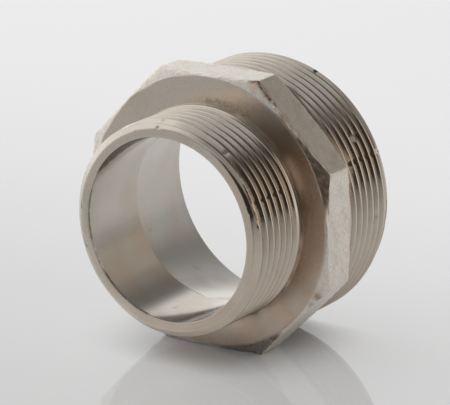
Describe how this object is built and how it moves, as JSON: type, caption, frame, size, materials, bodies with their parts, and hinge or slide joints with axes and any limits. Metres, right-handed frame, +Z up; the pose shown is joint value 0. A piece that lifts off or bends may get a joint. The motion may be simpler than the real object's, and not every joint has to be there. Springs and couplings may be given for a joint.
{
  "type": "reducing pipe nipple",
  "caption": "Reducing nipple that joins two female pipe threads: male thread at each end, eight-sided spanner collar between them, flared waterway right through.",
  "frame": {"origin": "centre of the small end's face, on the flow axis", "axes": "+Y along the flow axis from the small end to the large end, +Z up out of the collar's top flat, with the part lying on the collar's bottom flat"},
  "size_m": [0.0616, 0.0435, 0.0616],
  "materials": {
    "nickel_plate": "nickel-plated brass: bright threads, satin turned faces and bore, matt cast flats"
  },
  "bodies": {
    "root": {"reducing_nipple": "nickel_plate"}
  },
  "joints": []
}
